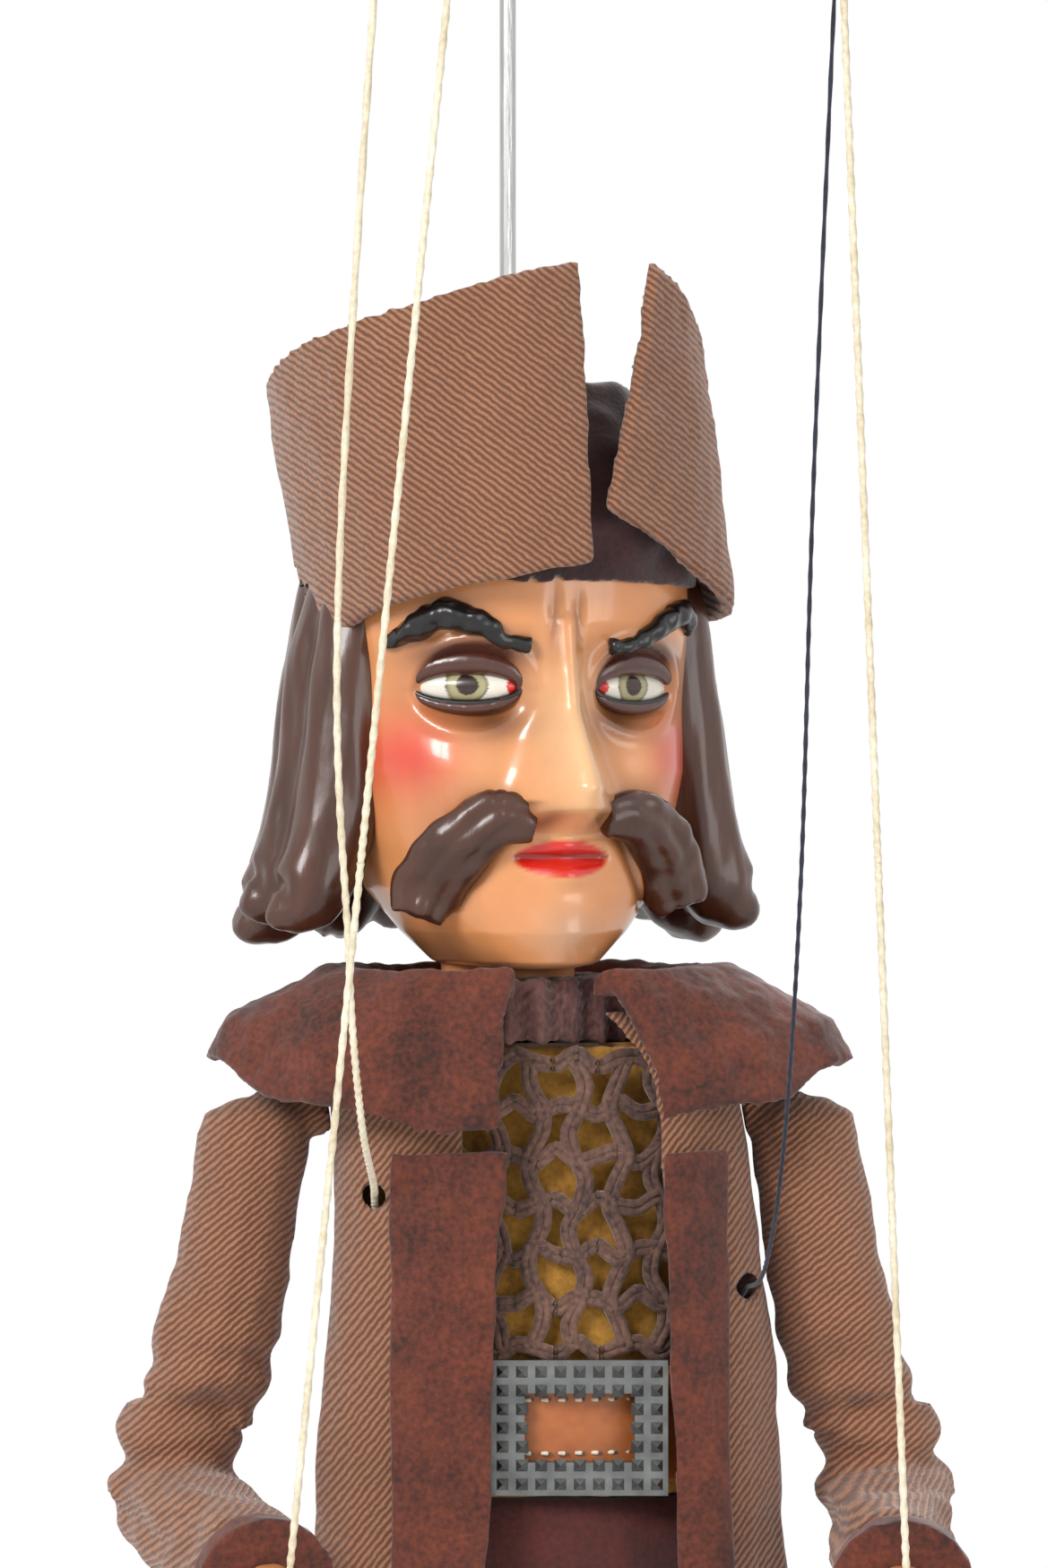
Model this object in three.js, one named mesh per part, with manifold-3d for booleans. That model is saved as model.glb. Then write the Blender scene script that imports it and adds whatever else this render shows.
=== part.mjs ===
// A string marionette: a cast head on a steel head wire, a cloth body with jointed arms and legs,
// and a wooden control with four strings. Millimetres, +Z up, the puppet's front faces -Y.
// Heights are measured from the underside of the chin while building; the whole group is then
// moved so that the origin is the underside of the hanging hook's arch.
import * as THREE from "three";
import { LoftGeometry } from "three/addons/geometries/LoftGeometry.js";
import { mergeVertices } from "three/addons/utils/BufferGeometryUtils.js";
import Module from "manifold-3d";

const wasm = await Module();
wasm.setup();

const gap = 0.4; // clearance between pieces that touch on the real puppet
const wire = { x: -4, y: 2, r: 1.55, bottom: -16 }; // head wire and the neck's turning axis
const faceTurn = THREE.MathUtils.degToRad(20); // head and control look this far to +X
const grip = { bottom: 225, top: 330, r: 11 };
const hook = { wireR: 2, bendR: 9, rise: 22 }; // rise: grip top to the bend's centre
const bar = { top: 239.6, tall: 8, deep: 9 };
const arm = { bottom: 240, tall: 10, wide: 12, reach: 84 };
const legBar = { reach: 62, half: 44 };
const handBar = { reach: 79, half: 34 };
const cordR = 0.65;
const threadR = 0.4;
const skullTop = 104;
const neck = { r: 13, bottom: -9 };
const cuff = { thick: 3.4 };
const knit = { inner: 15, outer: 25, bottom: -12.5, top: -1 };
const chest = { a: 34, b: 20, top: -13, bottom: -98 }; // outside of the felt vest
const felt = 2.2; // felt thickness
const net = { thick: 1.6, hole: 4.1, pitch: 10.4, left: -12, right: 30, top: -17, bottom: -71 };
const belt = { top: -72, bottom: -97, thick: 1.8 };
const buckle = { x: 9.5, wide: 33, tall: 25.3, rim: 6.2, thick: 2.6, stud: 2.6 };
const coat = { x: 3.5, thick: 2.2, hem: -130, holeR: 2.4 };
const lapel = { thick: 2, top: -25 };
const collar = { thick: 3, a: 62, b: 37, innerA: 28, innerB: 26 };
const sleeve = { r: 11, cuffR: 13 };
const shoulder = { x: 52, y: 0, z: -27 };
const elbow = { x: 68.5, y: 8, z: -100, flex: 40 };
const wrists = { right: [-50, -48, -110], left: [68, -50, -110] };
const hip = { x: 20, y: 0, z: -129, flex: 45, ball: 14 };
const knee = { y: -2, z: -208, r: 13 };
const thighR = 15;
const ankle = { y: 2, z: -296, r: 9 };
const sole = { bottom: -330, thick: 4 };

const V = (x, y, z) => new THREE.Vector3(x, y, z);

function solidOf(geometry) {
  const bare = new THREE.BufferGeometry().copy(geometry);
  bare.deleteAttribute("normal");
  bare.deleteAttribute("uv");
  const merged = mergeVertices(bare, 1e-4);
  return new wasm.Manifold(
    new wasm.Mesh({
      numProp: 3,
      vertProperties: new Float32Array(merged.attributes.position.array),
      triVerts: new Uint32Array(merged.index.array),
    }),
  );
}

function geometryOf(solid) {
  const mesh = solid.getMesh();
  const geometry = new THREE.BufferGeometry();
  geometry.setAttribute("position", new THREE.BufferAttribute(mesh.vertProperties, 3));
  geometry.setIndex(new THREE.BufferAttribute(mesh.triVerts, 1));
  const flat = geometry.toNonIndexed();
  flat.computeVertexNormals();
  return flat;
}

// Skin through rings of points; the rings are turned round if they face inwards.
function loft(rings) {
  const build = (list) => solidOf(new LoftGeometry(list, { capStart: true, capEnd: true }));
  try {
    const made = build(rings);
    if (made.volume() > 0) return made;
  } catch {
    // the other winding is tried below
  }
  return build(rings.map((ring) => [...ring].reverse()));
}

// Ellipse-like ring in a level plane; power 2 is an ellipse, more is squarer.
function ring(cx, cy, z, a, b, count = 24, power = 2, ripple = 0, ripples = 0) {
  const points = [];
  for (let i = 0; i < count; i++) {
    const t = (i / count) * Math.PI * 2;
    const grow = 1 + ripple * Math.cos(ripples * t);
    const c = Math.cos(t), s = Math.sin(t);
    points.push(V(
      cx + grow * a * Math.sign(c) * Math.abs(c) ** (2 / power),
      cy + grow * b * Math.sign(s) * Math.abs(s) ** (2 / power),
      z,
    ));
  }
  return points;
}

// Round limb through points [x, y, z, radius], closed at both ends.
function limb(stations, count = 12, wrinkle = 0, folds = 0) {
  const curve = new THREE.CatmullRomCurve3(stations.map((p) => V(p[0], p[1], p[2])), false, "centripetal");
  const steps = (stations.length - 1) * 3;
  const rings = [];
  const side = V(1, 0, 0);
  for (let i = 0; i <= steps; i++) {
    const at = i / steps;
    const k = Math.min(stations.length - 2, Math.floor(at * (stations.length - 1)));
    const f = at * (stations.length - 1) - k;
    const r = (stations[k][3] * (1 - f) + stations[k + 1][3] * f) * (1 + wrinkle * Math.cos(folds * at * Math.PI * 2));
    const centre = curve.getPoint(at);
    const along = curve.getTangent(at);
    const across = side.clone().addScaledVector(along, -side.dot(along)).normalize();
    const up = along.clone().cross(across);
    rings.push(Array.from({ length: count }, (_, j) => {
      const t = (j / count) * Math.PI * 2;
      return centre.clone().addScaledVector(across, r * Math.cos(t)).addScaledVector(up, r * Math.sin(t));
    }));
  }
  return loft(rings);
}

function ball(x, y, z, r, detail = 16) {
  return solidOf(new THREE.SphereGeometry(r, detail, detail / 2)).translate([x, y, z]);
}

function block(x, y, z, w, d, h) {
  return solidOf(new THREE.BoxGeometry(w, d, h)).translate([x, y, z]);
}

function rod(x, y, z0, z1, r, count = 16) {
  const g = new THREE.CylinderGeometry(r, r, z1 - z0, count).rotateX(Math.PI / 2);
  return solidOf(g).translate([x, y, (z0 + z1) / 2]);
}

function punch(x, z, r, y0, y1, count = 8) { // a bore along Y
  const g = new THREE.CylinderGeometry(r, r, y1 - y0, count);
  return solidOf(g).translate([x, (y0 + y1) / 2, z]);
}

function cord(points, r) {
  const path = new THREE.CatmullRomCurve3(points.map((p) => V(...p)), false, "centripetal");
  const disc = new THREE.Shape(Array.from({ length: 8 }, (_, i) => {
    const t = (i / 8) * Math.PI * 2;
    return new THREE.Vector2(r * Math.cos(t), r * Math.sin(t));
  }));
  const steps = points.length * 3;
  const made = solidOf(new THREE.ExtrudeGeometry(disc, { steps, extrudePath: path }));
  return made;
}

function largest(solid) {
  const parts = solid.decompose();
  return parts.reduce((best, p) => (p.volume() > best.volume() ? p : best));
}

// Piecewise-straight reading of a table of [key, value].
function read(table, key) {
  for (let i = 1; i < table.length; i++) {
    const [k0, v0] = table[i - 1], [k1, v1] = table[i];
    if ((key - k0) * (key - k1) <= 0) return v0 + ((v1 - v0) * (key - k0)) / (k1 - k0);
  }
  return Math.abs(key - table[0][0]) < Math.abs(key - table.at(-1)[0]) ? table[0][1] : table.at(-1)[1];
}

const group = new THREE.Group();
const figure = new THREE.Group();
const archZ = grip.top + hook.rise + hook.bendR - hook.wireR;
figure.position.set(-wire.x, -wire.y, -archZ);
group.add(figure);

function add(name, solid, color, roughness, metalness = 0) {
  const mesh = new THREE.Mesh(geometryOf(solid), new THREE.MeshStandardMaterial({ color, roughness, metalness }));
  mesh.name = name;
  figure.add(mesh);
}

// A place given ahead of the wire and to its side, turned with the face.
function turned(ahead, across) {
  return [
    wire.x + Math.sin(faceTurn) * ahead + Math.cos(faceTurn) * across,
    wire.y - Math.cos(faceTurn) * ahead + Math.sin(faceTurn) * across,
  ];
}
const turnWithFace = (solid) => solid.rotate([0, 0, THREE.MathUtils.radToDeg(faceTurn)]).translate([wire.x, wire.y, 0]);

// Control
const gripShape = [[0, 0], [0.62, 0], [0.95, 0.04], [1, 0.12], [0.78, 0.2], [0.9, 0.5], [0.8, 0.82], [0.95, 0.9], [0.9, 0.97], [0.5, 1], [0, 1]];
const gripLathe = new THREE.LatheGeometry(
  gripShape.map(([r, h]) => new THREE.Vector2(r * grip.r, grip.bottom + h * (grip.top - grip.bottom))), 20);
add("grip",
  solidOf(gripLathe.rotateX(Math.PI / 2)).translate([wire.x, wire.y, 0])
    .subtract(rod(wire.x, wire.y, grip.bottom - 1, grip.bottom + 20, wire.r + gap)),
  0xa8703f, 0.5);
const bend = grip.top + hook.rise;
add("hanging_hook",
  cord([[0, 1], [0, 8], [3, 12.5], [7.5, 16.5], [9, 22], [6.4, 28.4], [0, 31], [-6.4, 28.4], [-9, 22], [-8, 18]]
    .map(([x, z]) => [wire.x + (x * hook.bendR) / 9, wire.y, z > 16 ? bend + ((z - 22) * hook.bendR) / 9 : grip.top + z]), hook.wireR),
  0xb9b9b6, 0.3, 1);
const ahead = (from, to, half, z0, z1) => turnWithFace(
  block(0, -(from + to) / 2, (z0 + z1) / 2, half * 2, to - from, z1 - z0));
add("control_arm", ahead(grip.r + gap, arm.reach, arm.wide / 2, arm.bottom, arm.bottom + arm.tall), 0xb07a45, 0.55);
for (const [name, b] of [["leg_bar", legBar], ["hand_bar", handBar]])
  add(name, ahead(b.reach - bar.deep / 2, b.reach + bar.deep / 2, b.half + 5, bar.top - bar.tall, bar.top), 0xb07a45, 0.55);
add("head_wire", rod(wire.x, wire.y, wire.bottom, grip.bottom + 19, wire.r, 12), 0xc4c4c2, 0.25, 1);
const wireBore = rod(wire.x, wire.y, -30, 200, wire.r + gap, 12);

// Head: [height, half width, front, back]
const skull = [[2, 12, -29, 14], [8, 19, -32, 20], [16, 24, -32, 27], [26, 28, -31, 33], [38, 31, -31, 37],
  [50, 32, -29, 39], [58, 33, -30, 40], [66, 34, -33, 41], [78, 34, -32, 41], [92, 31, -28, 37], [skullTop, 20, -17, 24]];
const skullSolid = (grow) => loft(skull.map(([z, a, front, back]) =>
  ring(0, (front + back) / 2, z, a + grow, (back - front) / 2 + grow, 28, 2.2)));
const hair = (s) => limb([[s * 33, -4, 78, 6], [s * 37, 0, 60, 9], [s * 39, 2, 38, 11], [s * 42, -2, 19, 9], [s * 49, -8, 11, 3.5]], 10);
const whisker = (s) => limb([[s * 2, -37, 32, 3], [s * 9, -38, 24, 6], [s * 15, -36, 15, 5.5], [s * 20, -34, 7, 2]], 8);
const brow = (s) => limb([[s * 5, -32.5, 60, 2.4], [s * 15, -32, 65, 3], [s * 27, -24, 66, 1.6]], 8);
const nose = loft([[28, 2, 1], [31, 8, 8], [36, 8, 10.5], [44, 5, 7], [54, 4, 3.5], [62, 3.5, 1.5]].map(([z, a, out]) =>
  ring(0, -29, z, a, out + 3, 14)));
const lips = limb([[-9, -31, 21, 1.6], [0, -34, 21, 2.8], [9, -31, 21, 1.6]], 8);
let features = nose.add(lips).add(ball(0, -27, 10, 7, 12))
  .add(limb([[0, 34, 70, 10], [0, 37, 40, 13], [0, 34, 12, 8]], 12));
for (const s of [-1, 1])
  features = features.add(hair(s)).add(whisker(s)).add(brow(s)).add(ball(s * 17, -25, 54, 6, 10))
    .add(limb([[s * 26, 22, 74, 9], [s * 30, 26, 44, 12], [s * 28, 24, 14, 8]], 10));
const crownOutside = (grow) => turnWithFace(loft([[68, 37.4, -33, 45], [84, 37.5, -35, 44.5], [98, 35.5, -32, 41.5], [112, 24, -20, 30]].map(([z, a, f, b]) =>
  ring(0, (f + b) / 2, z, a + grow, (b - f) / 2 + grow, 28, 2.2))));
const head = turnWithFace(features).subtract(crownOutside(gap)).subtract(hatCuff(gap))
  .add(turnWithFace(skullSolid(0))).add(rod(wire.x, wire.y, neck.bottom, 12, neck.r, 16)).subtract(wireBore);
add("head", largest(head), 0xc07a45, 0.35);
add("hat_crown",
  largest(crownOutside(0).subtract(turnWithFace(skullSolid(gap)))
    .subtract(block(0, 0, 69, 200, 200, 8))
    .subtract(rod(wire.x, wire.y, 50, 200, wire.r + gap, 12))),
  0x3a1c20, 0.9);

// Turned-up cuff of the hat: one strip round the head, open at the front.
function hatCuff(grow = 0) {
  const rings = [];
  const steps = 44;
  for (let i = 0; i <= steps; i++) {
    const u = i / steps; // 0 at the split's +X edge, 1 at its -X edge, going round the back
    const top = read([[0, 134], [0.08, 124], [0.15, 113], [0.42, 108], [0.68, 114], [1, 133]], u);
    const foot = read([[0, 87], [0.08, 76], [0.15, 70], [0.42, 62], [0.68, 58], [0.85, 70], [1, 77]], u);
    const at = (level, extra) => {
      const z = foot - grow + level * (top - foot + 2 * grow);
      const f = (z - 68) / 60;
      const start = 27.4 + 28.6 * level - grow, end = 381.5 + 7.8 * level + grow;
      const t = THREE.MathUtils.degToRad(start + u * (end - start)); // 0 is straight ahead, growing towards +X
      return V(
        wire.x + 2.5 - 9 * f + (38.2 + 2 * f + extra) * Math.sin(t),
        wire.y + 4 - (43.2 + 4 * f + extra) * Math.cos(t) * 0.98,
        z);
    };
    const levels = [0, 0.33, 0.66, 1];
    rings.push([
      ...levels.map((level) => at(level, grow + cuff.thick - (level === 1 ? 0.8 : 0))),
      ...[...levels].reverse().map((level) => at(level, -grow)),
    ]);
  }
  return loft(rings);
}
add("hat_cuff", largest(hatCuff().subtract(crownOutside(gap)).subtract(turnWithFace(skullSolid(gap)))), 0xa56e50, 0.85);

// Trunk
const trunk = (grow, z0, z1) => loft([
  ring(0, 0, z0, chest.a + grow + 0.5, chest.b + grow + 0.5, 28, 2.3),
  ring(0, 0, (z0 + z1) / 2, chest.a + grow - 1, chest.b + grow, 28, 2.3),
  ring(0, 0, z1, chest.a + grow - 4, chest.b + grow - 2, 28, 2.3)]);
add("body_block", trunk(-felt - gap, chest.bottom, chest.top).subtract(rod(wire.x, wire.y, wire.bottom - 1, 0, wire.r + gap, 12)), 0xb98a58, 0.7);
add("felt_vest", trunk(0, chest.bottom, chest.top - 0.5).subtract(trunk(-felt, chest.bottom - 5, chest.top + 5)), 0xb8862b, 0.95);
add("knit_collar", loft([knit.bottom, -9, -5, knit.top].map((z, i) =>
  ring(wire.x, wire.y, z, knit.outer - (i === 3 ? 1.5 : 0), knit.outer - (i === 3 ? 1.5 : 0), 48, 2, 0.025, 24)))
  .subtract(rod(wire.x, wire.y, -20, 5, knit.inner, 24)), 0x4a2c30, 0.95);

const frontY = (a, b, x, cx, power = 2.5) => -b * (1 - Math.min(1, Math.abs((x - cx) / a)) ** power) ** (1 / power);
function patch(z0, z1, levels, xa, xb, inner, outer, across = 8) {
  const rings = [];
  for (let i = 0; i <= levels; i++) {
    const z = z0 + ((z1 - z0) * i) / levels;
    const a = xa(z), b = xb(z);
    const xs = Array.from({ length: across + 1 }, (_, j) => a + ((b - a) * j) / across);
    rings.push([...xs.map((x) => V(x, outer(x, z), z)), ...[...xs].reverse().map((x) => V(x, inner(x, z), z))]);
  }
  return loft(rings);
}
let netSolid = patch(net.bottom, net.top, 8, () => net.left, () => net.right,
  (x) => frontY(chest.a + 1, chest.b + gap + 0.6, x, 0, 2.3),
  (x) => frontY(chest.a + 1, chest.b + gap + 0.6, x, 0, 2.3) - net.thick, 10);
for (let row = 0; row < 5; row++)
  for (let col = 0; col < 4; col++)
    netSolid = netSolid.subtract(punch(net.left + 6.5 + col * net.pitch, net.bottom + 7 + row * net.pitch + (col % 2), net.hole, -40, -2, 6));
const netVest = netSolid.subtract(trunk(gap, chest.bottom, chest.top + 2));

const beltRing = (grow, z0, z1) => loft([z0, z1].map((z) => ring(0, 0, z, chest.a + 0.5 + grow, chest.b + 0.8 + grow, 28, 2.3)));
add("belt_strap", beltRing(gap + belt.thick, belt.bottom + 1.5, belt.top - 1.5)
  .subtract(beltRing(gap, belt.bottom - 5, belt.top + 5)), 0xb5652b, 0.5);
const buckleY = -(chest.b + 0.8 + gap + belt.thick + gap);
let buckleSolid = block(buckle.x, buckleY - buckle.thick / 2, (belt.top + belt.bottom) / 2, buckle.wide, buckle.thick, buckle.tall)
  .subtract(block(buckle.x, buckleY, (belt.top + belt.bottom) / 2, buckle.wide - 2 * buckle.rim, 20, buckle.tall - 2 * buckle.rim));
for (let i = -4; i <= 4; i++)
  for (let j = -3; j <= 3; j++) {
    if (Math.abs(i) < 3 && Math.abs(j) < 2) continue;
    const stud = solidOf(new THREE.ConeGeometry(buckle.stud / 2 + 0.4, 1.2, 4).rotateY(Math.PI / 4).rotateX(Math.PI));
    buckleSolid = buckleSolid.add(stud.translate([
      buckle.x + i * 3.6, buckleY - buckle.thick - 0.5, (belt.top + belt.bottom) / 2 + j * 3.5]));
  }
add("belt_buckle", largest(buckleSolid), 0x8d8f8c, 0.4, 0.9);
add("trouser_seat", loft([
  ring(0, 0, hip.z + 10.5, 38, 21, 28, 2.3), ring(0, 0, -106, 38, 23, 28, 2.3), ring(0, 0, chest.bottom - gap, 35, 21, 28, 2.3)])
  .subtract(ball(-hip.x, hip.y, hip.z, hip.ball + 2 * gap)).subtract(ball(hip.x, hip.y, hip.z, hip.ball + 2 * gap)), 0x4a1f1c, 0.85);

// Coat: a strip from the puppet's left front edge round the back to its right front edge.
const coatA = [[-7, 24], [-12, 34], [-20, 38.5], [-50, 40.2], [-75, 43], [-110, 44.5], [coat.hem, 45.5]];
const coatB = [[-7, 22], [-12, 25], [-20, 28], [-50, 29.5], [-75, 30.5], [-110, 32], [coat.hem, 33]];
const coatLevels = coatA.map((row) => row[0]).reverse();
function coatPoint(t, z, inward) {
  const a = read(coatA, z) - inward, b = read(coatB, z) - inward;
  const s = Math.sin(t), c = Math.cos(t), p = 2 / 2.5;
  const cx = coat.x * Math.min(1, Math.max(0, (-z - 15) / 30));
  return V(cx + a * Math.sign(s) * Math.abs(s) ** p, -b * Math.sign(c) * Math.abs(c) ** p, z);
}
const coatRings = [];
for (let i = 0; i <= 36; i++) {
  const t = THREE.MathUtils.degToRad(32 + (i / 36) * 311);
  const fold = 0.5 * Math.sin(i * 1.7);
  coatRings.push([
    ...coatLevels.map((z) => coatPoint(t, z, z < -90 ? fold : 0)),
    ...[...coatLevels].reverse().map((z) => coatPoint(t, z, coat.thick + (z < -90 ? fold : 0))),
  ]);
}
const coatFilled = loft(coatLevels.map((z) => Array.from({ length: 40 }, (_, i) => coatPoint((i / 40) * Math.PI * 2, z, -gap - 0.2))));
const rightHole = { x: -29, z: -41.5 }, leftHole = { x: 41, z: -59 };
const coatSolid = loft(coatRings);
add("net_vest", largest(netVest.subtract(coatSolid.translate([0, 0, gap])).subtract(coatSolid.translate([0, 0, -gap]))), 0x46302f, 0.95);
const coatBody = (coatSolid
  .subtract(punch(rightHole.x, rightHole.z, coat.holeR, -50, 0))
  .subtract(punch(leftHole.x, leftHole.z, coat.holeR, -50, 0))
  .subtract(rod(wire.x, wire.y, -20, 5, knit.outer + 1.2, 32))
  .subtract(trunk(gap, chest.bottom, chest.top + 0.1)));
const coatFront = (x, z, out) => frontY(read(coatA, z) , read(coatB, z), x, coat.x) - out;
const lapelSolid = (xa, xb) => patch(coat.hem + 1, lapel.top - 8, 10, xa, xb,
  (x, z) => coatFront(x, z, gap + 0.9), (x, z) => coatFront(x, z, gap + 0.9 + lapel.thick), 8);
add("right_lapel", lapelSolid(() => -26, (z) => read([[-33, -4], [-60, -6], [coat.hem, -8]], z)), 0x8a3d20, 0.7);
add("left_lapel", lapelSolid((z) => read([[-33, 25], [-60, 26], [coat.hem, 28]], z), () => 37.5), 0x8a3d20, 0.7);

// Large collar: sections run from the neck over the roll to the outer edge and back underneath.
const collarRings = [];
for (let i = 0; i <= 44; i++) {
  const t = THREE.MathUtils.degToRad(24 + (i / 44) * 331);
  const s = Math.sin(t), c = Math.cos(t);
  const edge = -15 - 13 * Math.max(0, c) ** 1.5 - 6 * Math.max(0, -c) + 1.2 * Math.sin(i * 1.3);
  const place = (f, z) => V(
    (collar.innerA + (collar.a - collar.innerA) * f) * s,
    -(collar.innerB + (collar.b - collar.innerB) * f) * c + wire.y * (1 - f), z);
  collarRings.push([
    place(0, -4), place(0.05, 0.5), place(0.3, 1.5), place(0.6, -2 + edge * 0.1), place(0.88, edge * 0.55), place(1, edge),
    place(0.93, edge - 1.5), place(0.82, edge * 0.55 - 3.4), place(0.56, -6.4 + edge * 0.1), place(0.3, -3.5),
  ]);
}
const collarSolid = largest(loft(collarRings).subtract(rod(wire.x, wire.y, -20, 8, knit.outer + 1.1, 32)));

// Arms
const upperStations = (s) => [[s * shoulder.x, 0, shoulder.z + 3, 5], [s * shoulder.x, 0, shoulder.z, sleeve.r - 1],
  [s * 55.5, 2, -50, sleeve.r], [s * 61, 5, -75, sleeve.r + 0.5], [s * elbow.x, elbow.y, elbow.z, sleeve.r + 1]];
for (const [side, s] of [["right", -1], ["left", 1]]) {
  const w = wrists[side];
  const lower = (grow) => limb([[s * elbow.x, elbow.y, elbow.z, sleeve.r + 0.5 + grow],
    [(s * elbow.x + w[0]) / 2, (elbow.y + w[1]) / 2, (elbow.z + w[2]) / 2 - 2, sleeve.r + 1 + grow],
    [w[0], w[1], w[2], sleeve.cuffR - 1 + grow]], 12, grow ? 0 : 0.02, 3)
    .add(ball(s * elbow.x, elbow.y, elbow.z, sleeve.r + 1.5 + grow, 12));
  const dir = V(w[0] - s * elbow.x, w[1] - elbow.y, w[2] - elbow.z).normalize();
  const beyond = (d) => [w[0] + dir.x * d, w[1] + dir.y * d, w[2] + dir.z * d];
  const raised = lower(0.6).translate([0, -elbow.y, -elbow.z]).rotate([-elbow.flex - 2, 0, 0]).translate([0, elbow.y, elbow.z]);
  const peg = solidOf(new THREE.CylinderGeometry(4, 4, 16, 12).rotateZ(Math.PI / 2)).translate([s * (shoulder.x - 8), 0, shoulder.z]);
  const arms = largest(limb(upperStations(s), 12, 0.03, 3).add(peg).subtract(coatFilled).subtract(raised)
    .subtract(rod(s * elbow.x, 0, elbow.z - 40, elbow.z + sleeve.r + 1.5 + gap, 60)));
  add(`${side}_upper_sleeve`, arms, 0xa87251, 0.85);
  const velvet = limb([[...beyond(0.4), sleeve.cuffR], [...beyond(7), sleeve.cuffR + 0.4]], 16);
  add(`${side}_lower_sleeve`, lower(0), 0xa87251, 0.85);
  add(`${side}_cuff`, velvet.subtract(lower(gap)), 0x8a3d20, 0.7);
  const hand = (() => {
    const at = (d, out, up) => { const p = beyond(d); return [p[0] + out, p[1], p[2] + up]; };
    let h = limb([[...at(7.5, 0, 0), 5.5], [...at(12, 0, 0), 6], [...at(22, 0, -1), 7.5], [...at(29, 0, -2), 5]], 10);
    for (let f = 0; f < 4; f++) {
      const o = (f - 1.5) * 3.8;
      h = h.add(limb([[...at(24, o, -1), 2.2], [...at(33, o * 1.1, -3), 2.1], [...at(40, o, -8), 1.6]], 6));
    }
    return h.add(limb([[...at(16, -s * 5, 0), 2.6], [...at(24, -s * 10, 0), 2.3], [...at(30, -s * 10, -2), 1.7]], 6));
  })();
  add(`${side}_hand`, hand, 0xc98a5a, 0.4);
}
const sleeveTops = limb(upperStations(-1), 12, 0.03, 3).add(limb(upperStations(1), 12, 0.03, 3));
add("coat_collar", largest(collarSolid.subtract(sleeveTops.translate([0, 0, gap]))
  .subtract(coatSolid.translate([0, 0, gap]))), 0x7d3a22, 0.75);

// Legs
for (const [side, s] of [["right", -1], ["left", 1]]) {
  const shin = (grow) => limb([[s * hip.x, knee.y, knee.z, knee.r - 0.5 + grow], [s * hip.x, 1, -250, 12 + grow],
    [s * hip.x, ankle.y, ankle.z, ankle.r + 1 + grow]]).add(ball(s * hip.x, knee.y, knee.z, knee.r + grow, 12));
  add(`${side}_thigh`, limb([[s * hip.x, hip.y, hip.z, 13.2], [s * hip.x, hip.y, hip.z - 9, thighR - 1],
    [s * hip.x, -1, -165, thighR], [s * hip.x, knee.y, knee.z + 5, knee.r + 1]], 12, 0.015, 3)
    .add(ball(s * hip.x, hip.y, hip.z, hip.ball, 14))
    .subtract(rod(s * hip.x, 0, knee.z - 40, knee.z + knee.r + gap, 40)), 0x4a1f1c, 0.85);
  add(`${side}_shin`, shin(0), 0x4a1f1c, 0.85);
  const bootTop = ankle.z - gap;
  const toe = -30;
  const boot = loft([
    ring(s * hip.x, -8, sole.bottom + sole.thick + gap, 11, 27, 20, 2.4),
    ring(s * hip.x, -7, -318, 11.5, 26, 20, 2.4), ring(s * hip.x, -1, -308, 10.5, 17, 20),
    ring(s * hip.x, ankle.y, bootTop - 3, 10, 11, 20), ring(s * hip.x, ankle.y, bootTop, 9.5, 10, 20)]);
  add(`${side}_boot`, boot, 0x1f1a18, 0.35);
  add(`${side}_sole`, loft([sole.bottom, sole.bottom + sole.thick].map((z) => ring(s * hip.x, -8, z, 11.5, 27.5, 20, 2.4))), 0x3a2a20, 0.7);
}

// Strings: [x, y, z] from the control down; the knee strings pass through the coat.
const barEnd = (b, side) => turned(b.reach, side * b.half);
const under = bar.top - bar.tall - gap;
const handTop = (side) => { // string tie on the back of the hand
  const w = wrists[side], s = side === "right" ? -1 : 1;
  const d = V(w[0] - s * elbow.x, w[1] - elbow.y, w[2] - elbow.z).normalize();
  return [w[0] + d.x * 22, w[1] + d.y * 22, w[2] + d.z * 22 + 6.8];
};
add("right_hand_string", cord([[...barEnd(handBar, -1), under], handTop("right")], cordR), 0xe9e0c8, 0.8);
add("left_hand_string", cord([[...barEnd(handBar, 1), under], handTop("left")], cordR), 0xe9e0c8, 0.8);
const rightKneePath = [[...barEnd(legBar, -1), under], [-34.5, -58, 75], [-33, -50, 5], [-31, -43, -25],
  [rightHole.x, -28, rightHole.z + 3], [rightHole.x, -18.8, rightHole.z], [rightHole.x, -15, rightHole.z - 6], [-29, -16.5, -60],
  [-29, -18, -75], [-28, -20, -100], [-26, -22, -130], [-20, -16.3, knee.z + 4]];
const leftKneePath = [[...barEnd(legBar, 1), under], [52.5, -46, 98], [50, -46, 20], [47, -43, -30], [44, -30, -54],
  [leftHole.x, -16, leftHole.z], [39, -12.5, -65], [37.5, -13, -85], [36, -16, -105], [30, -21, -130],
  [20, -16.3, knee.z + 4]];
add("right_knee_string", cord(rightKneePath, cordR), 0xe9e0c8, 0.8);
add("left_knee_string", cord(leftKneePath, threadR), 0x1d2233, 0.8);
add("coat_body", largest(coatBody.subtract(cord(rightKneePath, cordR + gap)).subtract(cord(leftKneePath, threadR + gap))),
  0xa87251, 0.85);

export default group;
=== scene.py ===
import bpy
import bmesh
import math
from mathutils import Matrix, Vector, noise


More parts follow.
